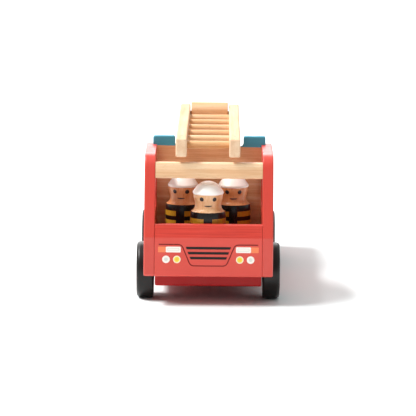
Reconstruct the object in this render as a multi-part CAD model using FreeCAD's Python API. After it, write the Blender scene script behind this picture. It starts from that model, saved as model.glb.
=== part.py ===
import FreeCAD, Part
import math
import os

# Wooden toy fire engine, in millimetres.
# +Z is up, the engine faces -Y, and the origin is the middle of the footprint on the floor.
# Left and right are the engine's own, so left is +X.
# Lengths called "from the front" run backwards from the foremost face of the body.

V = FreeCAD.Vector

# ---- Body, front to back and across ---------------------------------------------------------
body_length = 285.0
cabin_width = 77.8           # between the two side panels
panel_thickness = 7.8
glue_gap = 0.1               # thickness of a glued joint

cab_length = 103.0           # from the front to the back edge of the cab sides
rear_length = 117.0          # from the rear face to the front corner of the rear body
cab_back_lean = 3.0          # how far the back edge of the cab side leans backwards
rear_front_lean = 4.0        # how far the front edge of the rear body leans backwards
front_slope = math.radians(18.0)

# ---- Heights, stacked from the wheels up ------------------------------------------------------
wheel_radius = 20.6
axle_in_chassis = 8.7        # from the chassis board's underside up to the axles
chassis_thickness = 18.0
chassis_hang = 9.7           # how far the chassis board hangs below the side panels
lower_front_height = 28.4    # from the side panels' lower edge to where the front slopes back
upper_front_height = 9.1     # the sloping part of the front panel
seat_thickness = 5.0
figure_height = 58.3
header_over_figures = 2.75
header_height = 11.3
cab_over_header = 5.65
wall_over_cab = 6.35
notch_depth = 7.95           # of the ladder's notch, from the top of the wall's raised ends
window_over_front = 4.7      # from the front panel's top to the window sill
window_below_roof = 12.5
bay_side_height = 26.9       # of the side panels beside the equipment bay, over the chassis
rear_step = 19.0             # how much higher the rear body is than those sides
deck_below_rim = 1.5         # from the rear body's rim down to its deck

# ---- Rounded corners and edges ------------------------------------------------------------------
knee_round = 1.5
cab_front_round = 12.0
cab_rear_round = 14.0
bay_round = 12.0
rear_round = 7.0
foot_round = 2.0
outer_edge_round = 1.0
inner_edge_round = 0.6
front_panel_round = 1.2
chassis_round = 1.8
chassis_corner_round = 1.0
header_round = 1.8
rear_edge_round = 1.2

# ---- Windows and boards ----------------------------------------------------------------------------
window_front_margin = 17.0   # side pillar between the slope and the window
window_back_margin = 8.0     # from the side window back to the wall
window_round = 6.0
front_panel_thickness = 10.0
chassis_front = 16.0         # from the front to the front face of the chassis board
header_depth = 8.0
box_wall_thickness = 8.0
box_wall_setback = 3.0       # from the front corner of the rear body to the box wall
deck_thickness = 10.0
rear_panel_thickness = 8.0

# ---- Cab back wall with its raised ends -------------------------------------------------------------
wall_front = 80.0            # from the front to the front face of the wall
wall_thickness = 8.0
wall_tenon = 3.0             # how far each edge sits in its groove
notch_side_gap = 2.1         # between the ladder and each side of its notch
notch_round = 2.2
wall_corner_round = 1.8
wall_edge_round = 0.8

# ---- Dowels that hold the body together ---------------------------------------------------------------
dowel_radius = 2.0
dowel_in_panel = 5.0         # depth of a dowel hole in a side panel
dowel_in_board = 14.0        # depth of a dowel hole in the board that meets it
dowel_end_round = 0.4
dowel_clearance = 0.1
dowel_from_edge = 8.0        # from the top or bottom of an upright board to its dowel
dowel_from_end = 15.0        # from the end of the deck to its dowel
chassis_dowels_apart = 60.0

# ---- Wheels and axles --------------------------------------------------------------------------------
wheel_width = 12.5
wheel_side_gap = 1.0         # between a wheel's inner face and the chassis side
wheel_edge_round = 2.8
wheel_inner_round = 1.3
wheel_dish_radius = 12.5     # shallow dish turned in the outer face
wheel_dish_depth = 1.2
wheel_dish_round = 0.9
front_axle_at = 38.0         # from the front
rear_axle_from_rear = 82.0   # from the rear face
axle_radius = 4.0
axle_recess = 0.4            # how far the axle's end stays inside the wheel's dish
axle_end_round = 0.8
axle_running_gap = 0.3
arch_gap = 3.5               # between a wheel's tread and its arch

# ---- The three firemen and their places ------------------------------------------------------------------
seat_clearance = 0.6         # around each figure in its hole
seats_aside = -0.5           # how far the three seat holes sit off the engine's middle
front_figure_gap = 1.95      # from the front panel to the front figure
rear_figures_gap = 2.35      # from the rear figures to the wall
rear_figures_in = 0.85       # from the middle of each half of the seat in to its figure
figure_radius = 13.05
figure_base_round = 1.2
hat_height = 9.4             # from the brim's underside to the crown
brim_radius = 11.3
brim_thickness = 1.9
brim_round = 0.3
dome_radius = 9.1            # where the hat's round top turns into its sloping sides
dome_height = 4.9
head_radius = 10.85
neck_radius = 9.7
neck_drop = 17.8             # from the crown to the narrowest place
collar_radius = 12.5
collar_drop = 22.1           # from the crown to the collar's edge
collar_flare = 1.2           # height of the nearly flat part of the flare
shoulder_drop = 30.0         # from the crown to where the body is full width

# ---- Ladder and its turntable ---------------------------------------------------------------------------
pivot_from_rear = 50.0       # from the rear face to the turntable's centre
ladder_front_at = 15.0       # from the front to the ladder's front end
ladder_tail = 19.5           # from the pivot to the ladder's back end
ladder_width = 46.8
rail_width = 8.0
rail_height = 13.15
rail_edge_round = 1.2
ladder_turn = -0.25          # degrees: it lies a little askew in its notch
ladder_rest_gap = 0.2        # between the rails and the bottom of the notch
rung_count = 6
rung_radius = 3.0
first_rung_at = 21.2         # from the ladder's front end
last_rung_to_pivot = 26.1
rung_tenon = 6.0
brad_radius = 0.9
brad_length = 9.5            # down through the rail and the front rung's tenon
pin_radius = 3.0
pin_end_round = 0.5
pin_running_gap = 0.25
post_half_thickness = 10.0
post_side_gap = 0.8          # between the post and each rail
post_edge_round = 0.8
post_dowels_apart = 16.0
post_dowel_up = 9.5          # how far its dowels reach up into the post
post_dowel_down = 5.0        # and down into the turntable
turntable_radius = 30.0
turntable_thickness = 8.0
turntable_round = 1.5
turntable_gap = 0.3
spindle_radius = 6.0
spindle_running_gap = 0.3
spindle_tail = 1.0           # how far the spindle shows under its washer
retainer_radius = 14.0
retainer_thickness = 4.0

# ---- Places and sizes that follow ------------------------------------------------------------------------
inner_face = cabin_width / 2
outer_face = inner_face + panel_thickness
board_half = inner_face - glue_gap
wheel_inner_face = inner_face + wheel_side_gap
wheel_outer_face = wheel_inner_face + wheel_width

chassis_bottom = wheel_radius - axle_in_chassis
chassis_top = chassis_bottom + chassis_thickness
panel_bottom = chassis_bottom + chassis_hang
front_knee = panel_bottom + lower_front_height
front_panel_top = front_knee + upper_front_height
figure_foot = chassis_top + glue_gap
seat_top = figure_foot + seat_thickness
crown = figure_foot + figure_height
header_bottom = crown + header_over_figures
header_top = header_bottom + header_height
cab_top = header_top + cab_over_header
wall_top = cab_top + wall_over_cab
notch_bottom = wall_top - notch_depth
window_sill = front_panel_top + window_over_front
window_head = cab_top - window_below_roof
bay_sill = chassis_top + bay_side_height
rear_top = bay_sill + rear_step
deck_top = rear_top - deck_below_rim
deck_bottom = deck_top - deck_thickness

window_back = wall_front - window_back_margin
rear_corner = body_length - rear_length
rear_panel_front = body_length - rear_panel_thickness
box_wall_front = rear_corner + box_wall_setback
box_wall_back = box_wall_front + box_wall_thickness
rear_axle_at = body_length - rear_axle_from_rear
arch_radius = wheel_radius + arch_gap
bore_radius = axle_radius + axle_running_gap

turntable_bottom = deck_top + turntable_gap
turntable_top = turntable_bottom + turntable_thickness
retainer_top = deck_bottom - turntable_gap
pivot_at = body_length - pivot_from_rear
rail_half_height = rail_height / 2
pivot_height = notch_bottom + ladder_rest_gap + rail_half_height
ladder_reach = pivot_at - ladder_front_at
rung_pitch = (ladder_reach - first_rung_at - last_rung_to_pivot) / (rung_count - 1)
rail_inner_face = ladder_width / 2 - rail_width
notch_width = ladder_width + 2 * notch_side_gap
post_half_width = rail_inner_face - post_side_gap

LEFT = 1
RIGHT = -1
same_place = 1e-4            # two places nearer than this are one
cut_past = 1.0               # how far a cutting shape reaches past the face it cuts


def back(distance):
    """Y of a place that lies this far from the front."""
    return distance - body_length / 2


def slope_run(height):
    """How far the sloping front has moved back at this height."""
    return max(0.0, height - front_knee) * math.tan(front_slope)


# ---- Building blocks --------------------------------------------------------------------------
def block(x0, x1, y0, y1, z0, z1):
    return Part.makeBox(x1 - x0, y1 - y0, z1 - z0, V(x0, y0, z0))


def rod_x(radius, x0, x1, y, z):
    return Part.makeCylinder(radius, x1 - x0, V(x0, y, z), V(1, 0, 0))


def rod_z(radius, z0, z1, x, y):
    return Part.makeCylinder(radius, z1 - z0, V(x, y, z0), V(0, 0, 1))


def rounded_face(corners):
    """A flat face through (point, radius) corners, each rounded by a tangent arc."""
    edges = []
    starts = []
    ends = []
    for index, (point, radius) in enumerate(corners):
        to_before = (corners[index - 1][0] - point).normalize()
        to_after = (corners[(index + 1) % len(corners)][0] - point).normalize()
        if radius == 0:
            starts.append(point)
            ends.append(point)
            continue
        half_angle = to_before.getAngle(to_after) / 2
        reach = radius / math.tan(half_angle)
        inward = (to_before + to_after).normalize()
        middle = point + inward * (radius / math.sin(half_angle) - radius)
        starts.append(point + to_before * reach)
        ends.append(point + to_after * reach)
        edges.append(Part.Arc(starts[-1], middle, ends[-1]).toShape())
    for index in range(len(corners)):
        start = ends[index - 1]
        if start.distanceToPoint(starts[index]) > same_place:
            edges.append(Part.makeLine(start, starts[index]))
    return Part.Face(Part.Wire(Part.__sortEdges__(edges)))


def side_plate(outline, x0, x1):
    """A plate between two X planes, outlined by (from the front, height, radius) corners."""
    corners = [(V(x0, back(distance), z), radius) for distance, z, radius in outline]
    return rounded_face(corners).extrude(V(x1 - x0, 0, 0))


def rounded_edges(shape, radius, wanted):
    """Round the edges of a shape for which wanted(edge) is true."""
    return shape.makeFillet(radius, [edge for edge in shape.Edges if wanted(edge)])


def lies_in(axis, level):
    """A test for edges that lie flat in the plane where this axis, "X", "Y" or "Z", has this value."""

    def test(edge):
        low = getattr(edge.BoundBox, axis + "Min")
        high = getattr(edge.BoundBox, axis + "Max")
        return abs(low - level) < same_place and abs(high - level) < same_place

    return test


def is_ring(edge):
    return edge.Closed


def turned(profile_edges, x, y):
    """A solid of revolution about the vertical through (x, y); the profile is drawn in XZ."""
    face = Part.Face(Part.Wire(profile_edges))
    solid = face.revolve(V(0, 0, 0), V(0, 0, 1), 360)
    solid.translate(V(x, y, 0))
    return solid


# ---- Where the dowels go ----------------------------------------------------------------------
def dowel_places():
    """Each board's dowels: name -> list of (from the front, height), the same on both sides."""
    front_middle = front_panel_thickness / 2
    rear_middle = (rear_panel_front + body_length) / 2
    wall_middle = box_wall_front + box_wall_thickness / 2
    deck_middle = deck_bottom + deck_thickness / 2
    chassis_middle = (panel_bottom + chassis_top) / 2
    header_middle = (header_bottom + header_top) / 2
    between_arches = (front_axle_at + rear_axle_at) / 2
    behind_arch = (rear_axle_at + arch_radius + rear_panel_front) / 2
    return {
        "front_panel": [
            (front_middle, panel_bottom + dowel_from_edge),
            (front_middle, front_knee - dowel_from_edge),
        ],
        "header": [(slope_run(header_middle) + header_depth / 2, header_middle)],
        "chassis": [
            (between_arches - chassis_dowels_apart / 2, chassis_middle),
            (between_arches + chassis_dowels_apart / 2, chassis_middle),
            (behind_arch, chassis_middle),
        ],
        "box_wall": [
            (wall_middle, chassis_top + dowel_from_edge),
            (wall_middle, deck_bottom - dowel_from_edge),
        ],
        "deck": [
            (box_wall_back + dowel_from_end, deck_middle),
            (rear_panel_front - dowel_from_end, deck_middle),
        ],
        "rear_panel": [
            (rear_middle, panel_bottom + dowel_from_edge),
            (rear_middle, deck_bottom - dowel_from_edge),
        ],
    }


def dowel(side, place, extra_radius, extra_length):
    """One dowel lying across the joint between a side panel and a board."""
    distance, height = place
    outward = inner_face + dowel_in_panel - dowel_clearance + extra_length
    inward = inner_face - dowel_in_board + dowel_clearance - extra_length
    x0, x1 = sorted((side * inward, side * outward))
    return rod_x(dowel_radius + extra_radius, x0, x1, back(distance), height)


def dowels(board):
    """All the dowels of one board, as one group of solids."""
    pegs = []
    for side in (LEFT, RIGHT):
        for place in dowel_places()[board]:
            peg = dowel(side, place, 0.0, 0.0)
            pegs.append(rounded_edges(peg, dowel_end_round, is_ring))
    return Part.makeCompound(pegs)


def with_dowel_holes(shape, board, sides=(LEFT, RIGHT)):
    """Cut the holes that one board's dowels need."""
    for side in sides:
        for place in dowel_places()[board]:
            shape = shape.cut(dowel(side, place, dowel_clearance, dowel_clearance))
    return shape


# ---- Side panels ---------------------------------------------------------------------------------
def side_outline():
    bay_front = cab_length + cab_back_lean
    bay_back = rear_corner - rear_front_lean
    bay_corner_round = min(bay_round, (bay_back - bay_front) / 2)
    return [
        (0.0, panel_bottom, foot_round),
        (0.0, front_knee, knee_round),
        (slope_run(cab_top), cab_top, cab_front_round),
        (cab_length, cab_top, cab_rear_round),
        (bay_front, bay_sill, bay_corner_round),
        (bay_back, bay_sill, bay_corner_round),
        (rear_corner, rear_top, rear_round),
        (body_length, rear_top, rear_round),
        (body_length, panel_bottom, foot_round),
    ]


def window_outline():
    return [
        (slope_run(window_sill) + window_front_margin, window_sill, window_round),
        (slope_run(window_head) + window_front_margin, window_head, window_round),
        (window_back, window_head, window_round),
        (window_back, window_sill, window_round),
    ]


def side_panel(side):
    x0, x1 = sorted((side * inner_face, side * outer_face))
    panel = side_plate(side_outline(), x0, x1)
    panel = panel.cut(side_plate(window_outline(), x0 - cut_past, x1 + cut_past))
    for axle_at in (front_axle_at, rear_axle_at):
        arch = rod_x(arch_radius, x0 - cut_past, x1 + cut_past, back(axle_at), wheel_radius)
        panel = panel.cut(arch)
    panel = rounded_edges(panel, outer_edge_round, lies_in("X", side * outer_face))
    panel = rounded_edges(panel, inner_edge_round, lies_in("X", side * inner_face))
    panel = panel.cut(wall_groove())
    for board in dowel_places():
        panel = with_dowel_holes(panel, board, (side,))
    return panel


def wall_groove():
    """The slot in both side panels that takes the cab back wall."""
    reach = inner_face + wall_tenon + glue_gap
    front = back(wall_front) - glue_gap
    rear = back(wall_front + wall_thickness) + glue_gap
    return block(-reach, reach, front, rear, chassis_top, wall_top)


# ---- Boards between the side panels ---------------------------------------------------------------
def front_panel():
    thick = front_panel_thickness
    lean = slope_run(front_panel_top)
    outline = [
        (0.0, panel_bottom, front_panel_round),
        (0.0, front_knee, knee_round),
        (lean, front_panel_top, front_panel_round),
        (thick, front_panel_top, front_panel_round),
        (thick, panel_bottom, front_panel_round),
    ]
    panel = side_plate(outline, -board_half, board_half)
    return with_dowel_holes(panel, "front_panel")


def chassis_board():
    outline = [
        (chassis_front, chassis_bottom, chassis_round),
        (chassis_front, chassis_top, chassis_round),
        (rear_panel_front - glue_gap, chassis_top, 0),
        (rear_panel_front - glue_gap, chassis_bottom, chassis_round),
    ]
    board = side_plate(outline, -board_half, board_half)
    in_front = lies_in("Y", back(chassis_front))

    def at_corner(edge):
        """The two upright edges at the board's front corners."""
        return in_front(edge) and abs(edge.BoundBox.XMax - edge.BoundBox.XMin) < same_place

    board = rounded_edges(board, chassis_corner_round, at_corner)
    for axle_at in (front_axle_at, rear_axle_at):
        bore = rod_x(bore_radius, -inner_face, inner_face, back(axle_at), wheel_radius)
        board = board.cut(bore)
    return with_dowel_holes(board, "chassis")


def windscreen_header():
    foot = slope_run(header_bottom)
    brow = slope_run(header_top)
    outline = [
        (foot, header_bottom, header_round),
        (brow, header_top, header_round),
        (brow + header_depth, header_top, header_round),
        (foot + header_depth, header_bottom, header_round),
    ]
    bar = side_plate(outline, -board_half, board_half)
    return with_dowel_holes(bar, "header")


def cab_back_wall():
    """One board whose ends stand up beside the ladder's notch."""
    edge = inner_face + wall_tenon
    notch = notch_width / 2
    y = back(wall_front)
    bottom = chassis_top + glue_gap
    corners = [
        (V(-edge, y, bottom), 0),
        (V(edge, y, bottom), 0),
        (V(edge, y, wall_top), wall_corner_round),
        (V(notch, y, wall_top), wall_corner_round),
        (V(notch, y, notch_bottom), notch_round),
        (V(-notch, y, notch_bottom), notch_round),
        (V(-notch, y, wall_top), wall_corner_round),
        (V(-edge, y, wall_top), wall_corner_round),
    ]
    wall = rounded_face(corners).extrude(V(0, wall_thickness, 0))
    for face_y in (y, y + wall_thickness):
        in_face = lies_in("Y", face_y)

        def on_top(edge):
            """Only the edges that stand above the notch's bottom are softened."""
            return in_face(edge) and edge.BoundBox.ZMin > notch_bottom - same_place

        wall = rounded_edges(wall, wall_edge_round, on_top)
    return wall


def box_front_wall():
    outline = [
        (box_wall_front, chassis_top + glue_gap, 0),
        (box_wall_front, deck_bottom - glue_gap, 0),
        (box_wall_back, deck_bottom - glue_gap, 0),
        (box_wall_back, chassis_top + glue_gap, 0),
    ]
    wall = side_plate(outline, -board_half, board_half)
    return with_dowel_holes(wall, "box_wall")


def rear_deck():
    outline = [
        (box_wall_front, deck_bottom, 0),
        (box_wall_front, deck_top, rear_edge_round),
        (rear_panel_front - glue_gap, deck_top, 0),
        (rear_panel_front - glue_gap, deck_bottom, 0),
    ]
    deck = side_plate(outline, -board_half, board_half)
    bore_r = spindle_radius + spindle_running_gap
    deck = deck.cut(rod_z(bore_r, deck_bottom, deck_top, 0, back(pivot_at)))
    return with_dowel_holes(deck, "deck")


def rear_panel():
    spare = rear_panel_thickness - max(rear_round, foot_round)
    inner_round = min(rear_edge_round, spare / 2)
    outline = [
        (rear_panel_front, panel_bottom, inner_round),
        (rear_panel_front, rear_top, inner_round),
        (body_length, rear_top, rear_round),
        (body_length, panel_bottom, foot_round),
    ]
    panel = side_plate(outline, -board_half, board_half)
    return with_dowel_holes(panel, "rear_panel")


def figure_places():
    """Node name -> (x, y) of each fireman."""
    front_y = back(front_panel_thickness + front_figure_gap + figure_radius)
    rear_y = back(wall_front - rear_figures_gap - figure_radius)
    rear_x = inner_face / 2 - rear_figures_in
    return {
        "fireman_front": (seats_aside, front_y),
        "fireman_rear_left": (seats_aside + LEFT * rear_x, rear_y),
        "fireman_rear_right": (seats_aside + RIGHT * rear_x, rear_y),
    }


def seat_board():
    """The board with a round hole for each fireman, on top of the chassis."""
    outline = [
        (front_panel_thickness + glue_gap, figure_foot, 0),
        (front_panel_thickness + glue_gap, seat_top, 0),
        (wall_front - glue_gap, seat_top, 0),
        (wall_front - glue_gap, figure_foot, 0),
    ]
    board = side_plate(outline, -board_half, board_half)
    hole_radius = figure_radius + seat_clearance
    for x, y in figure_places().values():
        board = board.cut(rod_z(hole_radius, chassis_top, seat_top + cut_past, x, y))
    return board


# ---- Wheels ----------------------------------------------------------------------------------------
def wheel(side, axle_at):
    y = back(axle_at)
    x0, x1 = sorted((side * wheel_inner_face, side * wheel_outer_face))
    disc = rod_x(wheel_radius, x0, x1, y, wheel_radius)
    disc = rounded_edges(disc, wheel_edge_round, lies_in("X", side * wheel_outer_face))
    disc = rounded_edges(disc, wheel_inner_round, lies_in("X", side * wheel_inner_face))
    d0, d1 = sorted((side * (wheel_outer_face - wheel_dish_depth), side * (wheel_outer_face + cut_past)))
    disc = disc.cut(rod_x(wheel_dish_radius, d0, d1, y, wheel_radius))
    disc = rounded_edges(disc, wheel_dish_round, lies_in("X", side * wheel_outer_face))
    return disc.cut(rod_x(axle_radius + glue_gap, x0 - cut_past, x1 + cut_past, y, wheel_radius))


def axle(axle_at):
    reach = wheel_outer_face - wheel_dish_depth + axle_recess
    rod = rod_x(axle_radius, -reach, reach, back(axle_at), wheel_radius)
    return rounded_edges(rod, axle_end_round, is_ring)


# ---- Firemen ------------------------------------------------------------------------------------------
def fireman(x, y):
    """A turned peg figure: straight body, hollowed neck, head and a brimmed hat."""
    brim = crown - hat_height

    def at(radius, z):
        return V(radius, 0, z)

    def bend(*poles):
        curve = Part.BezierCurve()
        curve.setPoles(list(poles))
        return curve.toShape()

    foot = at(figure_radius - figure_base_round, figure_foot)
    side = at(figure_radius, figure_foot + figure_base_round)
    shoulder = at(figure_radius, crown - shoulder_drop)
    shoulder_bend = at(figure_radius, (shoulder.z + crown - collar_drop) / 2)
    collar = at(collar_radius, crown - collar_drop)
    neck = at(neck_radius, crown - neck_drop)
    head = at(head_radius, brim)
    cheek_height = (neck.z + brim) / 2
    brim_under = at(brim_radius - brim_round, brim)
    brim_upper = at(brim_radius - brim_round, brim + brim_thickness)
    brim_outer = at(brim_radius, brim + brim_thickness / 2)
    dome = at(dome_radius, crown - dome_height)
    ball_radius = (dome_radius ** 2 + dome_height ** 2) / (2 * dome_height)
    half_turn = math.asin(dome_radius / ball_radius) / 2
    ball_middle = crown - ball_radius
    dome_middle = at(ball_radius * math.sin(half_turn), ball_middle + ball_radius * math.cos(half_turn))
    edges = [
        Part.makeLine(at(0, figure_foot), foot),
        bend(foot, at(figure_radius, figure_foot), side),
        Part.makeLine(side, shoulder),
        bend(shoulder, shoulder_bend, collar),
        bend(collar, at(neck_radius, collar.z + collar_flare), neck),
        bend(neck, at(neck_radius, cheek_height), at(head_radius, cheek_height), head),
        Part.makeLine(head, brim_under),
        Part.Arc(brim_under, brim_outer, brim_upper).toShape(),
        Part.makeLine(brim_upper, dome),
        Part.Arc(dome, dome_middle, at(0, crown)).toShape(),
        Part.makeLine(at(0, crown), at(0, figure_foot)),
    ]
    return turned(edges, x, y)


# ---- Ladder, built straight along the engine and then turned on the turntable ----------------------------
def swung(shape):
    """Turn a piece of the ladder or the turntable about the turntable's middle."""
    shape.rotate(V(0, back(pivot_at), 0), V(0, 0, 1), ladder_turn)
    return shape


def rung_place(index):
    """Y of a rung before the ladder is turned."""
    return back(ladder_front_at + first_rung_at + index * rung_pitch)


def ladder_rail(side):
    x0, x1 = sorted((side * rail_inner_face, side * ladder_width / 2))
    y0 = back(ladder_front_at)
    y1 = back(pivot_at) + ladder_tail
    rail = block(x0, x1, y0, y1, pivot_height - rail_half_height, pivot_height + rail_half_height)
    rail = rail.makeFillet(rail_edge_round, rail.Edges)
    t0, t1 = sorted((side * (rail_inner_face - cut_past), side * (rail_inner_face + rung_tenon + glue_gap)))
    for index in range(rung_count):
        socket = rod_x(rung_radius + glue_gap, t0, t1, rung_place(index), pivot_height)
        rail = rail.cut(socket)
    rail = rail.cut(rod_x(pin_radius + glue_gap, x0 - cut_past, x1 + cut_past, back(pivot_at), pivot_height))
    rail = rail.cut(brad(side, glue_gap))
    return swung(rail)


def brad(side, extra):
    """The brad driven down through a rail to lock the front rung's tenon."""
    x = side * (ladder_width - rail_width) / 2
    top = pivot_height + rail_half_height
    return rod_z(brad_radius + extra, top - brad_length - extra, top, x, rung_place(0))


def rail_brads():
    return swung(Part.makeCompound([brad(LEFT, 0.0), brad(RIGHT, 0.0)]))


def ladder_rung(index):
    reach = rail_inner_face + rung_tenon
    rung = rod_x(rung_radius, -reach, reach, rung_place(index), pivot_height)
    if index == 0:
        for side in (LEFT, RIGHT):
            rung = rung.cut(brad(side, glue_gap))
    return swung(rung)


def ladder_pivot_pin():
    reach = ladder_width / 2
    pin = rod_x(pin_radius, -reach, reach, back(pivot_at), pivot_height)
    return swung(rounded_edges(pin, pin_end_round, is_ring))


def post_dowel_places():
    return [(side * post_dowels_apart / 2, back(pivot_at)) for side in (LEFT, RIGHT)]


def ladder_post():
    """The block between the rails, with its top rounded about the pin."""
    half = post_half_thickness
    y = back(pivot_at)
    foot = turntable_top + glue_gap
    stem = block(-post_half_width, post_half_width, y - half, y + half, foot, pivot_height)
    crown = rod_x(half, -post_half_width, post_half_width, y, pivot_height)
    post = stem.fuse(crown).removeSplitter()
    ends = (-post_half_width, post_half_width)
    for x in ends:
        post = rounded_edges(post, post_edge_round, lies_in("X", x))
    bore_r = pin_radius + pin_running_gap
    post = post.cut(rod_x(bore_r, ends[0] - cut_past, ends[1] + cut_past, y, pivot_height))
    hole_top = turntable_top + post_dowel_up + dowel_clearance
    for x, peg_y in post_dowel_places():
        post = post.cut(rod_z(dowel_radius + dowel_clearance, foot, hole_top, x, peg_y))
    return swung(post)


def post_dowels():
    """Two dowels that hold the post on the turntable."""
    pegs = []
    for x, y in post_dowel_places():
        pegs.append(rod_z(dowel_radius, turntable_top - post_dowel_down, turntable_top + post_dowel_up, x, y))
    return swung(Part.makeCompound(pegs))


def turntable():
    y = back(pivot_at)
    disc = rod_z(turntable_radius, turntable_bottom, turntable_top, 0, y)
    disc = rounded_edges(disc, turntable_round, lies_in("Z", turntable_top))
    hole_foot = turntable_top - post_dowel_down - dowel_clearance
    for x, peg_y in post_dowel_places():
        disc = disc.cut(rod_z(dowel_radius + dowel_clearance, hole_foot, turntable_top, x, peg_y))
    return swung(disc)


def turntable_spindle():
    """The dowel under the turntable that turns in the deck."""
    foot = retainer_top - retainer_thickness - spindle_tail
    return swung(rod_z(spindle_radius, foot, turntable_bottom - glue_gap, 0, back(pivot_at)))


def spindle_retainer():
    """The washer that keeps the spindle in the deck, inside the rear body."""
    y = back(pivot_at)
    foot = retainer_top - retainer_thickness
    ring = rod_z(retainer_radius, foot, retainer_top, 0, y)
    hole = rod_z(spindle_radius + glue_gap, foot, retainer_top, 0, y)
    return swung(ring.cut(hole))


# ---- All the pieces ----------------------------------------------------------------------------------
def all_parts():
    parts = {
        "side_panel_left": side_panel(LEFT),
        "side_panel_right": side_panel(RIGHT),
        "front_panel": front_panel(),
        "chassis_board": chassis_board(),
        "windscreen_header": windscreen_header(),
        "cab_back_wall": cab_back_wall(),
        "seat_board": seat_board(),
        "box_front_wall": box_front_wall(),
        "rear_deck": rear_deck(),
        "rear_panel": rear_panel(),
        "turntable": turntable(),
        "turntable_spindle": turntable_spindle(),
        "spindle_retainer": spindle_retainer(),
        "ladder_post": ladder_post(),
        "post_dowels": post_dowels(),
        "ladder_rail_left": ladder_rail(LEFT),
        "ladder_rail_right": ladder_rail(RIGHT),
        "rail_brads": rail_brads(),
        "ladder_pivot_pin": ladder_pivot_pin(),
    }
    for board in dowel_places():
        parts[board + "_dowels"] = dowels(board)
    for index in range(rung_count):
        parts["ladder_rung_%d" % (index + 1)] = ladder_rung(index)
    for end, axle_at in (("front", front_axle_at), ("rear", rear_axle_at)):
        parts[end + "_axle"] = axle(axle_at)
        parts[end + "_wheel_left"] = wheel(LEFT, axle_at)
        parts[end + "_wheel_right"] = wheel(RIGHT, axle_at)
    for name, (x, y) in figure_places().items():
        parts[name] = fireman(x, y)
    return parts


os.makedirs("parts", exist_ok=True)
for name, shape in all_parts().items():
    shape.exportStep("parts/" + name + ".step")
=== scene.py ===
import math

import bmesh
import bpy
from mathutils import Matrix, Vector


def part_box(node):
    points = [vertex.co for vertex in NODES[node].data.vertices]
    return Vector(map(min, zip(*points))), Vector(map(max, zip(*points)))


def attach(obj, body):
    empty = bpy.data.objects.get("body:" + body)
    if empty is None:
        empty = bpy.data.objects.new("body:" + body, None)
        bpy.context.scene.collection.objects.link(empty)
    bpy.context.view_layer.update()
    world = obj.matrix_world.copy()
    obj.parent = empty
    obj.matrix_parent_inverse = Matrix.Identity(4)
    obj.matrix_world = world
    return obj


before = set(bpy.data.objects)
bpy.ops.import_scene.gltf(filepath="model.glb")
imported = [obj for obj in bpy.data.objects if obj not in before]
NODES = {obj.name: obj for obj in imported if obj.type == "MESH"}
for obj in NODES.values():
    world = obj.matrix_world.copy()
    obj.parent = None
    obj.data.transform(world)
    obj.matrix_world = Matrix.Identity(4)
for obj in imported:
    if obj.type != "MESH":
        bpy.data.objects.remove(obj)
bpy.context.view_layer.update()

MM = 0.001

# ---- Colours, as sRGB hex ---------------------------------------------------------------------
RED_ENAMEL = "#DE483A"
SIDE_RED = "#D64335"
SLOPE_SHADE_RED = "#C2382C"          # painted shade: the same paint made darker on the front's sloping upper face, which gets less light
CHASSIS_RED = "#AE2020"
ENAMEL_UNDERTONE = "#8A3A30"
BLACK_ENAMEL = "#15110F"
TEAL_ENAMEL = "#3F97AD"
TEAL_THICK = "#2F7C90"          # where the brush left more of it
BEECH_LIGHT = "#F6DDB8"
BEECH_MID = "#EBC596"
BEECH_DARK = "#D9A670"
BEECH_PALE = "#E2C6B0"
FLECK_BROWN = "#B98450"
# the varnish's warm tint; in larger amounts (cab wall, rear faces) it is painted shade and red
# bounce
WARM_VARNISH_AND_SHADE = "#D98F58"
COAT_BLACK = "#0B0909"
COAT_BLACK_WORN = "#1E1917"
BAND_OCHRE = "#C4962A"
BAND_OCHRE_THICK = "#A5701C"
HAT_WHITE = "#FFFDF8"
# the same white paint, darker as painted shade for the hats deeper in the cab
HAT_WHITE_IN_SHADE = "#EDE5DC"
FACE_BLACK = "#1A1210"
FACE_BLACK_THICK = "#0C0806"
BRAD_DARK = "#5C4A42"
BRAD_LIGHT = "#8B776B"
FLOOR_WHITE = "#F3F8F8"
FLOOR_SHADE = "#EFF5F5"

# Screen inks: the material's name, colour, mottled colour and specular level
INKS = {
    "grille": ("black_screen_ink", "#120D0B", "#20150F", 0.25),
    "orange": ("orange_screen_ink", "#F4804F", "#E06A3C", 0.5),
    "white": ("white_screen_ink", "#F7EEE6", "#EADBCB", 0.5),
    "cream": ("cream_screen_ink", "#F6E7C8", "#EBD5AC", 0.5),
    "yellow": ("yellow_screen_ink", "#F2D84A", "#E8C332", 0.5),
    "grey": ("grey_screen_ink", "#DDDAD0", "#CFCBC0", 0.5),
    "amber": ("amber_screen_ink", "#EFC22E", "#E3AE22", 0.5),
}
OUTLINE_INK = ("outline_screen_ink", "#571411", "#6E1D19", 0.15)

# ---- Patterns in the finishes: sizes across and along the grain, in millimetres ----------------
GROWTH_BANDS = (5.0, 90.0)
WOOD_FIBRES = (0.5, 22.0)
RAY_FLECKS = (0.45, 3.2)
FIBRES_UNDER_PAINT = (0.8, 26.0)
# streaks in the painted shade on the front's sloping face
SLOPE_SHADE_STREAKS = (0.7, 45.0)
BRUSH_STROKES = (1.0, 24.0)

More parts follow.
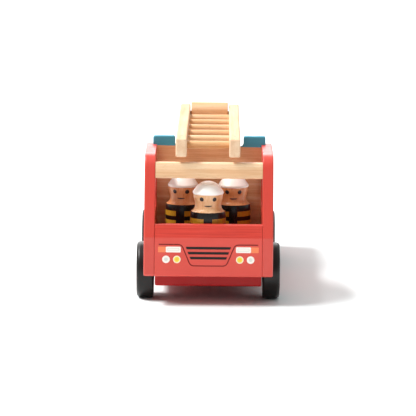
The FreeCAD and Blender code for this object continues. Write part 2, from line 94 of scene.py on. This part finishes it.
# ---- Printed front, in millimetres from the middle and from the front panel's lower edge -------
OUTLINE_TOP = 23.5
OUTLINE_FOOT = 8.0
OUTLINE_END = 35.8
OUTLINE_SHOULDER = 19.3         # half width where the outline starts to slope inwards
OUTLINE_FOOT_HALF = 12.9
OUTLINE_BEND = 2.7
LINE_WIDTH = 0.7
LAMP_BAR_LOW = 17.7
LAMP_BAR_HIGH = 21.9
LAMP_BAR_INNER = 19.9
LAMP_BAR_SPLIT = 30.7
LAMP_BAR_OUTER = 36.3
LENS_RIM = 1.1                  # from a white bar's edge to the grey line inside it
LENS_LINE = 0.35
ROUND_LAMP_HEIGHT = 12.6
ROUND_LAMP_RADIUS = 2.75
YELLOW_LAMP_AT = 22.7
WHITE_LAMP_AT = 30.5
GRILLE_HEIGHTS = (21.0, 17.3, 13.7)
GRILLE_HALF_WIDTHS = (16.0, 14.7, 13.2)
GRILLE_BAR = 1.8
PRINT_HEIGHT = 0.1              # how far the ink stands off the paint
INK_STEP = 0.04                 # how far an ink printed over another stands off it

SLOPED_FACE = 9.1               # height of the front panel's sloping upper part, which carries painted shade
PAINT_EDGE_BELOW_ROOF = 1.27    # where the wall's teal paint starts, below the cab sides' top
PAINT_EDGE_LEAN = 0.0136        # it was brushed on a little lower on the engine's left

# ---- Firemen, in millimetres down from the crown ------------------------------------------------
EYE_DROP = 12.5
EYE_APART = 9.3
EYE_RADIUS = 1.6
EYE_RISE = 0.3
MOUTH_DROP = 17.5
MOUTH_WIDTH = 5.3
MOUTH_LINE = 0.45
MOUTH_BEND = 0.2
MOUTH_STEPS = 10
HAT_DROP = 9.5
COLLAR_DROP = 22.1
BAND_TOPS = (26.6, 33.5, 43.6, 50.5)
BAND_HEIGHT = 3.8
COAT_FRONT_STRIP = 6.3
PAINT_EDGE = 0.08               # softness of a painted edge

# Node, body, turn about the vertical, grain seed, hat colour and warmth of the bare face
FIREMEN = (
    # Lit and shaded copies of one paint: the front figure's whiter hat and paler face are painted
    # light, the rear figures' duller hats and warmer, redder faces painted shade and red bounce
    # from the cab's inside
    ("fireman_front", "front_figure", 0.0, 9, HAT_WHITE, 0.35),
    ("fireman_rear_left", "rear_left_figure", 0.0, 10, HAT_WHITE_IN_SHADE, 0.7),
    ("fireman_rear_right", "rear_right_figure", math.radians(-9.0), 11, HAT_WHITE_IN_SHADE, 0.7),
)

# ---- Studio: where each light comes from, W/m2 and how wide it looks, in degrees ---------------
ROOM_LIGHT = 0.31
WINDOW_FROM = (-0.54, 0.0, 0.84)
WINDOW_HALF_LENGTH = 0.2        # it reaches this far to the front and to the back
WINDOW_LIGHT = 4.4
WINDOW_SPREAD = 13.0
OVERHEAD_FROM = (-0.1, 0.3, 1.0)
OVERHEAD_LIGHT = 0.85
OVERHEAD_SPREAD = 120.0
BACK_FROM = (-0.12, 0.86, 0.5)
BACK_LIGHT = 1.5
BACK_SPREAD = 44.0

CAMERA_AIM_ACROSS = -0.55       # millimetres from the middle
CAMERA_AIM_HEIGHT = 66.35       # millimetres above the floor
CAMERA_DISTANCE = 2.051         # metres
CAMERA_ELEVATION = math.radians(8.27)
CAMERA_ROLL = math.radians(0.54)
CAMERA_LENS = 242.2             # millimetres, on a sensor 36 mm wide


# ---- Node building ----------------------------------------------------------------------------
def hex_colour(text, alpha=1.0):
    """An sRGB hex colour as linear RGBA."""
    channels = [int(text[place:place + 2], 16) / 255 for place in (1, 3, 5)]
    linear = [c / 12.92 if c <= 0.04045 else ((c + 0.055) / 1.055) ** 2.4 for c in channels]
    return (*linear, alpha)


def add(tree, kind, inputs=None, **settings):
    """Add a shader node; inputs are values, or sockets of other nodes to link."""
    made = tree.nodes.new("ShaderNode" + kind)
    for name, value in settings.items():
        setattr(made, name, value)
    for name, value in (inputs or {}).items():
        if isinstance(value, bpy.types.NodeSocket):
            tree.links.new(value, made.inputs[name])
        else:
            made.inputs[name].default_value = value
    return made


def calculate(tree, operation, first, second=0.0):
    return add(tree, "Math", {0: first, 1: second}, operation=operation).outputs[0]


def ramp(tree, factor, stops):
    """A colour ramp through (position, hex colour) stops."""
    made = add(tree, "ValToRGB", {"Fac": factor})
    band = made.color_ramp
    while len(band.elements) < len(stops):
        band.elements.new(0.5)
    for element, (position, colour) in zip(band.elements, stops):
        element.position = position
        element.color = hex_colour(colour)
    return made.outputs["Color"]


def blend_colours(tree, factor, first, second, mode="MIX"):
    """Mix two colours, each a hex text or a socket."""
    made = add(tree, "Mix", {"Factor": factor}, data_type="RGBA", blend_type=mode)
    for socket, value in ((made.inputs[6], first), (made.inputs[7], second)):
        if isinstance(value, bpy.types.NodeSocket):
            tree.links.new(value, socket)
        else:
            socket.default_value = hex_colour(value)
    return made.outputs[2]


def rescale(tree, value, low, high, to_low=0.0, to_high=1.0):
    """Map a value's range onto another one, held at its ends."""
    ends = {"Value": value, "From Min": low, "From Max": high, "To Min": to_low, "To Max": to_high}
    return add(tree, "MapRange", ends).outputs["Result"]


def above(tree, value, level, softness=PAINT_EDGE):
    """0 below a level and 1 above it, over a short soft edge."""
    return rescale(tree, value, level - softness, level + softness)


def new_material(name):
    material = bpy.data.materials.new(name)
    material.use_nodes = True
    tree = material.node_tree
    tree.nodes.clear()
    surface = add(tree, "BsdfPrincipled")
    output = add(tree, "OutputMaterial", {"Surface": surface.outputs["BSDF"]})
    output.location = (300, 0)
    return material, tree, surface


def object_millimetres(tree, centre=(0, 0, 0), turn=0.0):
    """Object coordinates in millimetres, from a centre in metres, turned about the vertical."""
    place = add(tree, "TexCoord").outputs["Object"]
    moved = add(tree, "VectorMath", {0: place, 1: tuple(-c for c in centre)}, operation="ADD")
    turned = add(tree, "Mapping", {"Vector": moved.outputs[0], "Rotation": (0, 0, -turn),
                                   "Scale": (1 / MM, 1 / MM, 1 / MM)})
    return turned.outputs["Vector"]


def shifted(tree, place, offset):
    """Start a pattern elsewhere, so that no two pieces of wood are alike."""
    return add(tree, "VectorMath", {0: place, 1: offset}, operation="ADD").outputs[0]


def noise(tree, place, scale=1.0, detail=2.0, roughness=0.5):
    """Noise whose scale is in spots per millimetre."""
    settings = {"Vector": place, "Scale": scale, "Detail": detail, "Roughness": roughness}
    return add(tree, "TexNoise", settings).outputs["Fac"]


def grain(tree, place, along, size, detail=2.0, roughness=0.5):
    """Streaks of a size across and along one axis, in millimetres."""
    scale = [1 / size[0], 1 / size[0], 1 / size[0]]
    scale["XYZ".index(along)] = 1 / size[1]
    squeezed = add(tree, "VectorMath", {0: place, 1: scale}, operation="MULTIPLY").outputs[0]
    return noise(tree, squeezed, detail=detail, roughness=roughness)


def raise_bump(tree, surface, height, distance_mm, strength):
    bump = add(tree, "Bump", {"Height": height, "Strength": strength,
                              "Distance": distance_mm * MM})
    tree.links.new(bump.outputs["Normal"], surface.inputs["Normal"])


def set_roughness(tree, surface, pattern, smooth, rough, low=0.0, high=1.0):
    """Let a pattern drift the surface between a smoother and a rougher value."""
    drift = rescale(tree, pattern, low, high, smooth, rough)
    tree.links.new(drift, surface.inputs["Roughness"])


# ---- Materials --------------------------------------------------------------------------------
def beech_colour(tree, place, along, seed, warmth, pale=0.0):
    """Beech's colour and its pore height: growth bands, fibres and short ray flecks."""
    moved = shifted(tree, place, (seed * 37.0, seed * 91.0, seed * 53.0))
    bands = grain(tree, moved, along, GROWTH_BANDS, detail=3.0)
    fibres = grain(tree, moved, along, WOOD_FIBRES, detail=3.0, roughness=0.6)
    flecks = grain(tree, moved, along, RAY_FLECKS, detail=1.0)
    tone = calculate(tree, "ADD", calculate(tree, "MULTIPLY", bands, 0.62),
                     calculate(tree, "MULTIPLY", fibres, 0.38))
    wood = ramp(tree, tone, [(0.36, BEECH_DARK), (0.5, BEECH_MID), (0.64, BEECH_LIGHT)])
    flecked = calculate(tree, "MULTIPLY", rescale(tree, flecks, 0.64, 0.72), 0.35)
    coloured = blend_colours(tree, flecked, wood, FLECK_BROWN)
    # warmth tints towards varnish; the larger amounts on the cab wall and rear faces are painted
    # shade and red bounce
    warmed = blend_colours(tree, warmth, coloured, WARM_VARNISH_AND_SHADE, "MULTIPLY")
    return blend_colours(tree, pale, warmed, BEECH_PALE), fibres


def make_beech(name, along, seed, warmth=0.12, pale=0.0, gloss=0.2):
    """Sanded beech under a thin clear varnish: fine fibres, short flecks and a soft sheen.

    A gloss of 0 is bare, unvarnished wood, which has no sheen.
    """
    material, tree, surface = new_material(name)
    place = object_millimetres(tree)
    colour, fibres = beech_colour(tree, place, along, seed, warmth, pale)
    tree.links.new(colour, surface.inputs["Base Color"])
    set_roughness(tree, surface, fibres, 0.48, 0.64)
    surface.inputs["Specular IOR Level"].default_value = gloss
    raise_bump(tree, surface, fibres, 0.05, 0.5)
    return material


def make_enamel(name, colour, along, seed, shade_share=0.10, gloss=0.5, coat=0.15,
                slope_shade_from=None):
    """Satin enamel sprayed on sanded wood: even, with faint fibres and a slow waviness.

    Above the given height (mm) the colour turns to a darker red in grain-like streaks: painted
    shade on the front's sloping upper face, which gets less light.
    """
    material, tree, surface = new_material(name)
    place = object_millimetres(tree)
    moved = shifted(tree, place, (seed * 17.0, seed * 29.0, seed * 41.0))
    fibres = grain(tree, moved, along, FIBRES_UNDER_PAINT, detail=3.0, roughness=0.6)
    waves = noise(tree, moved, scale=0.09)      # about 11 mm from crest to crest
    specks = noise(tree, moved, scale=1.4)      # spray droplets of about 0.7 mm
    drift = calculate(tree, "MULTIPLY", calculate(tree, "ADD", fibres, waves), shade_share)
    shaded = blend_colours(tree, drift, colour, ENAMEL_UNDERTONE, "MULTIPLY")
    # painted shade: above the given height the red darkens in grain-like streaks
    if slope_shade_from is not None:
        height = add(tree, "SeparateXYZ", {0: place}).outputs["Z"]
        streaks = grain(tree, place, along, SLOPE_SHADE_STREAKS, detail=4.0, roughness=0.65)
        shaded_slope = blend_colours(tree, rescale(tree, streaks, 0.3, 0.6), colour, SLOPE_SHADE_RED)
        shaded = blend_colours(tree, above(tree, height, slope_shade_from, 0.2), shaded, shaded_slope)
    tree.links.new(shaded, surface.inputs["Base Color"])
    set_roughness(tree, surface, waves, 0.34, 0.46, 0.3, 0.7)
    surface.inputs["Specular IOR Level"].default_value = gloss
    surface.inputs["Coat Weight"].default_value = coat
    surface.inputs["Coat Roughness"].default_value = 0.3
    height = calculate(tree, "ADD", calculate(tree, "MULTIPLY", fibres, 0.5),
                       calculate(tree, "MULTIPLY", specks, 0.25))
    raise_bump(tree, surface, height, 0.06, 0.55)
    return material


def make_wall_wood(paint_from):
    """The cab back wall: varnished beech, warmer and darker than the other beech as painted shade
    and red bounce from the cab's inside, with teal enamel brushed on its raised ends.
    """
    material, tree, surface = new_material("beech_wall_shaded_with_teal_ends")
    place = object_millimetres(tree)
    # painted shade: a warmth of 0.45 makes the whole wall darker and redder, for the shade and red
    # bounce inside the cab
    colour, fibres = beech_colour(tree, place, "X", 4.0, 0.45)
    axes = add(tree, "SeparateXYZ", {0: place})
    lean = calculate(tree, "MULTIPLY", axes.outputs["X"], PAINT_EDGE_LEAN)
    wobble = calculate(tree, "MULTIPLY", noise(tree, place, scale=0.35), 0.5)
    height = calculate(tree, "ADD", axes.outputs["Z"], calculate(tree, "ADD", wobble, lean))
    painted = above(tree, height, paint_from + 0.25)
    strokes = calculate(tree, "MULTIPLY", grain(tree, place, "X", BRUSH_STROKES, detail=3.0), 0.35)
    teal = blend_colours(tree, strokes, TEAL_ENAMEL, TEAL_THICK)
    tree.links.new(blend_colours(tree, painted, colour, teal), surface.inputs["Base Color"])
    set_roughness(tree, surface, fibres, 0.42, 0.56)
    raise_bump(tree, surface, fibres, 0.05, 0.5)
    return material


def coat_colour(tree, place, axes, edge):
    """A black coat with ochre bands, which a black strip interrupts down the front."""
    worn = calculate(tree, "MULTIPLY", noise(tree, place, scale=0.4, detail=3.0), 0.25)
    black = blend_colours(tree, worn, COAT_BLACK, COAT_BLACK_WORN)
    brushed = noise(tree, place, scale=0.8, detail=3.0)
    ochre = blend_colours(tree, brushed, BAND_OCHRE, BAND_OCHRE_THICK)
    banded = 0.0
    for top in BAND_TOPS:
        inside = calculate(tree, "SUBTRACT", above(tree, edge, top),
                           above(tree, edge, top + BAND_HEIGHT))
        banded = calculate(tree, "ADD", banded, inside)
    aside = calculate(tree, "ABSOLUTE", axes.outputs["X"])
    shown = calculate(tree, "MAXIMUM", above(tree, aside, COAT_FRONT_STRIP / 2),
                      above(tree, axes.outputs["Y"], 0.0))
    return blend_colours(tree, calculate(tree, "MULTIPLY", banded, shown), black, ochre)


def make_figure_paint(name, node, turn, seed, hat, warmth):
    """A turned beech figure: bare varnished face, white hat, black coat with ochre bands. The
    given hat colour and face warmth carry painted light and shade.
    """
    low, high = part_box(node)
    centre = ((low.x + high.x) / 2, (low.y + high.y) / 2, high.z)
    material, tree, surface = new_material(name)
    place = object_millimetres(tree, centre, turn)
    axes = add(tree, "SeparateXYZ", {0: place})
    drop = calculate(tree, "MULTIPLY", axes.outputs["Z"], -1.0)
    unsteady = calculate(tree, "MULTIPLY", noise(tree, place, scale=0.5), 0.24)
    edge = calculate(tree, "ADD", drop, calculate(tree, "SUBTRACT", unsteady, 0.12))
    skin, fibres = beech_colour(tree, place, "Z", seed, warmth)
    coat = coat_colour(tree, place, axes, edge)
    dressed = blend_colours(tree, above(tree, edge, COLLAR_DROP), skin, coat)
    whole = blend_colours(tree, above(tree, edge, HAT_DROP), hat, dressed)
    tree.links.new(whole, surface.inputs["Base Color"])
    set_roughness(tree, surface, fibres, 0.22, 0.36)
    surface.inputs["Specular IOR Level"].default_value = 0.35
    raise_bump(tree, surface, fibres, 0.04, 0.4)
    return material


def make_ink(name, colour, darker, gloss=0.5):
    """Screen-printed ink: a thin even film with slight mottling."""
    material, tree, surface = new_material(name)
    place = object_millimetres(tree)
    mottle = calculate(tree, "MULTIPLY", noise(tree, place, scale=1.1, detail=3.0), 0.3)
    tree.links.new(blend_colours(tree, mottle, colour, darker), surface.inputs["Base Color"])
    surface.inputs["Roughness"].default_value = 0.4
    surface.inputs["Specular IOR Level"].default_value = gloss
    raise_bump(tree, surface, noise(tree, place, scale=3.0), 0.02, 0.4)
    return material


def make_brad_steel():
    """Drawn steel wire, dulled, with fine marks on the cut end."""
    material, tree, surface = new_material("brad_steel")
    marks = noise(tree, object_millimetres(tree), scale=4.0, detail=3.0)
    colour = ramp(tree, marks, [(0.3, BRAD_DARK), (0.7, BRAD_LIGHT)])
    tree.links.new(colour, surface.inputs["Base Color"])
    surface.inputs["Metallic"].default_value = 0.8
    surface.inputs["Roughness"].default_value = 0.45
    raise_bump(tree, surface, marks, 0.03, 0.5)
    return material


# ---- Finishes for the CAD nodes ---------------------------------------------------------------
def finish(material, *nodes):
    for node in nodes:
        for slot in NODES[node].material_slots:
            slot.material = material


def finish_painted_nodes():
    sides = make_enamel("satin_red_enamel_sides", SIDE_RED, "Y", 1.0)
    finish(sides, "side_panel_left", "side_panel_right")
    ends = make_enamel("satin_red_enamel_ends", RED_ENAMEL, "X", 2.0)
    finish(ends, "rear_panel")
    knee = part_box("front_panel")[1].z / MM - SLOPED_FACE
    # the front's sloping upper face is darkened by painted shade
    front_paint = make_enamel("satin_red_enamel_front_painted_slope_shade", RED_ENAMEL, "X", 2.0, gloss=0.4,
                         slope_shade_from=knee)
    finish(front_paint, "front_panel")
    chassis = make_enamel("satin_dark_red_enamel", CHASSIS_RED, "Y", 3.0, gloss=0.2, coat=0.0)
    finish(chassis, "chassis_board")
    black = make_enamel("satin_black_enamel", BLACK_ENAMEL, "Z", 5.0, shade_share=0.0,
                        gloss=0.32, coat=0.0)
    finish(black, "front_wheel_left", "front_wheel_right", "rear_wheel_left", "rear_wheel_right")
    side_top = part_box("side_panel_left")[1].z / MM
    finish(make_wall_wood(side_top - PAINT_EDGE_BELOW_ROOF), "cab_back_wall")
    for node, _, turn, seed, hat, warmth in FIREMEN:
        finish(make_figure_paint("painted_" + node, node, turn, seed, hat, warmth), node)


def finish_bare_nodes():
    header = make_beech("varnished_beech_header", "X", 1.0, warmth=0.14, pale=0.25)
    finish(header, "windscreen_header")
    finish(make_beech("varnished_beech_across", "X", 1.0), "box_front_wall")
    finish(make_beech("varnished_beech_lengthways", "Y", 2.0),
           "seat_board", "rear_deck", "turntable", "spindle_retainer")
    finish(make_beech("varnished_beech_upright", "Z", 3.0), "turntable_spindle", "post_dowels")
    post = make_beech("bare_beech_post", "X", 12.0, warmth=0.35, pale=0.1, gloss=0.0)
    finish(post, "ladder_post")
    for seed, side in ((7.0, "left"), (8.0, "right")):
        rail = make_beech("bare_beech_rail_" + side, "Y", seed, warmth=0.14, pale=0.5, gloss=0.0)
        finish(rail, "ladder_rail_" + side)
    turned = [node for node in NODES
              if node.startswith("ladder_rung") or node.endswith(("_axle", "_pivot_pin"))
              or node.endswith("_dowels") and node != "post_dowels"]
    finish(make_beech("varnished_beech_dowel", "X", 6.0, warmth=0.2), *turned)
    finish(make_brad_steel(), "rail_brads")


# ---- Printed front ----------------------------------------------------------------------------
def new_piece(name, bm, material, body):
    """Turn a bmesh into a finished piece that rides on a body."""
    bmesh.ops.remove_doubles(bm, verts=bm.verts, dist=1e-7)
    bmesh.ops.recalc_face_normals(bm, faces=bm.faces)
    mesh = bpy.data.meshes.new(name)
    bm.to_mesh(mesh)
    bm.free()
    mesh.materials.append(material)
    piece = bpy.data.objects.new(name, mesh)
    bpy.context.scene.collection.objects.link(piece)
    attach(piece, body)
    return piece


def new_wire(name, points, radius, radii=None):
    """A mesh tube of round section along points in metres."""
    curve = bpy.data.curves.new(name, "CURVE")
    curve.dimensions = "3D"
    curve.bevel_depth = radius
    curve.bevel_resolution = 3
    curve.use_fill_caps = True
    spline = curve.splines.new("POLY")
    spline.points.add(len(points) - 1)
    for index, point in enumerate(points):
        spline.points[index].co = (*point, 1)
        if radii:
            spline.points[index].radius = radii[index]
    wire = bpy.data.objects.new(name, curve)
    bpy.context.scene.collection.objects.link(wire)
    depsgraph = bpy.context.evaluated_depsgraph_get()
    mesh = bpy.data.meshes.new_from_object(wire.evaluated_get(depsgraph))
    bpy.data.objects.remove(wire)
    return mesh


def raise_print(bm, faces):
    """Thicken an ink's flat faces outwards; they start a little inside the paint."""
    grown = bmesh.ops.extrude_face_region(bm, geom=faces)
    lifted = [item for item in grown["geom"] if isinstance(item, bmesh.types.BMVert)]
    bmesh.ops.translate(bm, verts=lifted, vec=(0, -1.5 * PRINT_HEIGHT * MM, 0))


def add_print(bm, outline, corner, place, layer=0):
    """Add one printed shape, given by (x, height) corners, to the front panel's face."""
    front_y, base_z = place
    y = front_y + (0.5 * PRINT_HEIGHT - layer * INK_STEP) * MM
    corners = [bm.verts.new((x * MM, y, base_z + z * MM)) for x, z in outline]
    bm.faces.new(corners)
    bmesh.ops.bevel(bm, geom=corners, offset=corner * MM, affect="VERTICES", segments=5,
                    profile=0.5, material=-1)
    raise_print(bm, [bm.faces[:][-1]])


def add_round_lamp(bm, x, radius, place, layer=0):
    front_y, base_z = place
    y = front_y + (0.5 * PRINT_HEIGHT - layer * INK_STEP) * MM
    middle = Matrix.Translation((x * MM, y, base_z + ROUND_LAMP_HEIGHT * MM))
    made = bmesh.ops.create_circle(bm, cap_ends=True, segments=40, radius=radius * MM,
                                   matrix=middle @ Matrix.Rotation(math.pi / 2, 4, "X"))
    raise_print(bm, list({face for vert in made["verts"] for face in vert.link_faces}))


def lamp_bar(side, inner, outer, rim=0.0):
    """The corners of one stretch of the bar of lamps, kept inside a rim."""
    near, far = side * (inner + rim), side * (outer - rim)
    low, high = LAMP_BAR_LOW + rim, LAMP_BAR_HIGH - rim
    return [(near, low), (far, low), (far, high), (near, high)]


def print_lamps(shapes, side, place):
    """One side's bar, orange outside and white inside, over a yellow and a white lamp."""
    orange = lamp_bar(side, LAMP_BAR_SPLIT, LAMP_BAR_OUTER)
    add_print(shapes["orange"], orange, 0.5, place)
    add_print(shapes["white"], lamp_bar(side, LAMP_BAR_INNER, LAMP_BAR_SPLIT), 0.7, place)
    yellow_at, white_at = side * YELLOW_LAMP_AT, side * WHITE_LAMP_AT
    add_round_lamp(shapes["cream"], yellow_at, ROUND_LAMP_RADIUS, place)
    add_round_lamp(shapes["yellow"], yellow_at, ROUND_LAMP_RADIUS * 0.72, place, 1)
    add_round_lamp(shapes["amber"], yellow_at, ROUND_LAMP_RADIUS * 0.36, place, 2)
    add_round_lamp(shapes["white"], white_at, ROUND_LAMP_RADIUS, place)
    add_round_lamp(shapes["grey"], white_at, ROUND_LAMP_RADIUS * 0.5, place, 1)
    for layer, ink, rim in ((1, "grey", LENS_RIM), (2, "white", LENS_RIM + LENS_LINE)):
        lens = lamp_bar(side, LAMP_BAR_INNER, LAMP_BAR_SPLIT, rim)
        add_print(shapes[ink], lens, 0.6, place, layer)


def print_grille(bm, place):
    """Three bars whose ends follow the outline's slope."""
    lean = (OUTLINE_SHOULDER - OUTLINE_FOOT_HALF) / (OUTLINE_TOP - OUTLINE_FOOT)
    skew = lean * GRILLE_BAR / 2
    for height, half in zip(GRILLE_HEIGHTS, GRILLE_HALF_WIDTHS):
        low, high = height - GRILLE_BAR / 2, height + GRILLE_BAR / 2
        bar = [(-half + skew, low), (half - skew, low), (half + skew, high), (-half - skew, high)]
        add_print(bm, bar, 0.25, place)


def print_outline(place):
    """The thin line around the grille, with rounded bends."""
    half_path = [(OUTLINE_END, OUTLINE_TOP), (OUTLINE_SHOULDER, OUTLINE_TOP),
                 (OUTLINE_FOOT_HALF, OUTLINE_FOOT), (0.0, OUTLINE_FOOT)]
    path = rounded_path(half_path + [(-x, z) for x, z in reversed(half_path[:-1])], OUTLINE_BEND)
    points = [(x * MM, 0, z * MM) for x, z in path]
    mesh = new_wire("print_outline", points, LINE_WIDTH / 2 * MM)
    flat = Matrix.Diagonal((1, PRINT_HEIGHT / (LINE_WIDTH / 2), 1, 1))
    mesh.transform(Matrix.Translation((0, *place)) @ flat)
    bm = bmesh.new()
    bm.from_mesh(mesh)
    bpy.data.meshes.remove(mesh)
    new_piece("print_outline", bm, make_ink(*OUTLINE_INK), "truck_body")


def rounded_path(corners, radius, steps=6):
    """An open path in a plane whose inner corners are rounded by short curves."""
    points = [corners[0]]
    for before, corner, after in zip(corners, corners[1:], corners[2:]):
        here = Vector(corner)
        towards_before = (Vector(before) - here).normalized()
        towards_after = (Vector(after) - here).normalized()
        if towards_before.dot(towards_after) < -0.999:
            points.append(corner)
            continue
        start, end = here + towards_before * radius, here + towards_after * radius
        for step in range(steps + 1):
            t = step / steps
            points.append(tuple(start * (1 - t) ** 2 + here * 2 * t * (1 - t) + end * t ** 2))
    points.append(corners[-1])
    return points


def print_front():
    low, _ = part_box("front_panel")
    place = (low.y, low.z)
    shapes = {ink: bmesh.new() for ink in INKS}
    for side in (1, -1):
        print_lamps(shapes, side, place)
    print_grille(shapes["grille"], place)
    for ink, shape in shapes.items():
        new_piece("print_" + ink, shape, make_ink(*INKS[ink]), "truck_body")
    print_outline(place)


# ---- Faces ------------------------------------------------------------------------------------
def on_front_of(node, across, drop, turn):
    """Where a figure's front surface is, this far across and down from its crown (mm)."""
    low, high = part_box(node)
    outward = Vector((math.sin(turn), -math.cos(turn), 0))
    sideways = Vector((math.cos(turn), math.sin(turn), 0))
    middle = Vector(((low.x + high.x) / 2, (low.y + high.y) / 2, high.z - drop * MM))
    outside = middle + sideways * across * MM + outward * 50 * MM
    _, place, normal, _ = NODES[node].ray_cast(outside, -outward)
    return place, normal


def add_mouth(bm, node, turn):
    """A thin brushed stroke that tapers towards its ends and turns up slightly."""
    shares = [2 * index / MOUTH_STEPS - 1 for index in range(MOUTH_STEPS + 1)]
    points = [on_front_of(node, share * MOUTH_WIDTH / 2, MOUTH_DROP - MOUTH_BEND * share ** 2,
                          turn)[0] for share in shares]
    tapers = [1.0 - 0.45 * share ** 2 for share in shares]
    mesh = new_wire("mouth", points, MOUTH_LINE * MM, tapers)
    bm.from_mesh(mesh)
    bpy.data.meshes.remove(mesh)


def paint_faces():
    """Two domed dots of paint for eyes and a short line for a mouth."""
    ink = make_ink("gloss_face_black", FACE_BLACK, FACE_BLACK_THICK)
    for node, body, turn, *_ in FIREMEN:
        bm = bmesh.new()
        for side in (-1, 1):
            place, normal = on_front_of(node, side * EYE_APART / 2, EYE_DROP, turn)
            facing = normal.to_track_quat("Z", "Y").to_matrix().to_4x4()
            size = Matrix.Diagonal((EYE_RADIUS * MM, EYE_RADIUS * MM, EYE_RISE * MM, 1))
            bmesh.ops.create_uvsphere(bm, u_segments=24, v_segments=12, radius=1.0,
                                      matrix=Matrix.Translation(place) @ facing @ size)
        add_mouth(bm, node, turn)
        piece = new_piece("face_" + node, bm, ink, body)
        piece.data.shade_smooth()


# ---- Studio -----------------------------------------------------------------------------------
def make_floor():
    """White studio paper: matt, with a barely visible mottle."""
    material, tree, surface = new_material("white_paper_floor")
    place = add(tree, "TexCoord").outputs["Object"]
    shade = blend_colours(tree, noise(tree, place, scale=3.0), FLOOR_WHITE, FLOOR_SHADE)
    tree.links.new(shade, surface.inputs["Base Color"])
    surface.inputs["Roughness"].default_value = 0.95
    surface.inputs["Specular IOR Level"].default_value = 0.0
    bm = bmesh.new()
    bmesh.ops.create_grid(bm, x_segments=1, y_segments=1, size=30.0)
    mesh = bpy.data.meshes.new("floor")
    bm.to_mesh(mesh)
    bm.free()
    mesh.materials.append(material)
    floor = bpy.data.objects.new("floor", mesh)
    bpy.context.scene.collection.objects.link(floor)


def hang_light(name, comes_from, strength, spread):
    """A far light that looks this many degrees wide."""
    light = bpy.data.lights.new(name, "SUN")
    light.energy = strength
    light.angle = math.radians(spread)
    lamp = bpy.data.objects.new(name, light)
    bpy.context.scene.collection.objects.link(lamp)
    place = Vector(comes_from)
    lamp.matrix_world = Matrix.LocRotScale(place, (-place).to_track_quat("-Z", "Y"), None)


def make_lights():
    """A long soft window on the engine's right, a diffuser above, a back light, a dim room."""
    world = bpy.data.worlds.new("studio")
    bpy.context.scene.world = world
    world.use_nodes = True
    background = world.node_tree.nodes["Background"]
    background.inputs["Color"].default_value = (1, 1, 1, 1)
    background.inputs["Strength"].default_value = ROOM_LIGHT
    for part, along in (("front", -1), ("middle", 0), ("back", 1)):
        comes_from = Vector(WINDOW_FROM) + Vector((0, along * WINDOW_HALF_LENGTH, 0))
        hang_light("window_" + part, comes_from, WINDOW_LIGHT / 3, WINDOW_SPREAD)
    hang_light("overhead", OVERHEAD_FROM, OVERHEAD_LIGHT, OVERHEAD_SPREAD)
    hang_light("back", BACK_FROM, BACK_LIGHT, BACK_SPREAD)


def make_camera():
    """A long lens about two metres in front, eight degrees above the floor's level."""
    front_axle_y = sum(corner.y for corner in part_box("front_axle")) / 2
    target = Vector((CAMERA_AIM_ACROSS * MM, front_axle_y, CAMERA_AIM_HEIGHT * MM))
    towards = Vector((0, -math.cos(CAMERA_ELEVATION), math.sin(CAMERA_ELEVATION)))
    camera = bpy.data.cameras.new("camera")
    camera.sensor_width = 36.0
    camera.lens = CAMERA_LENS
    camera.clip_end = 100.0
    view = bpy.data.objects.new("camera", camera)
    bpy.context.scene.collection.objects.link(view)
    aim = (-towards).to_track_quat("-Z", "Y").to_matrix().to_4x4()
    view.matrix_world = (Matrix.Translation(target + CAMERA_DISTANCE * towards) @ aim
                         @ Matrix.Rotation(CAMERA_ROLL, 4, "Z"))
    bpy.context.scene.camera = view


finish_painted_nodes()
finish_bare_nodes()
print_front()
paint_faces()
make_floor()
make_lights()
make_camera()
bpy.context.scene.view_settings.view_transform = "Standard"
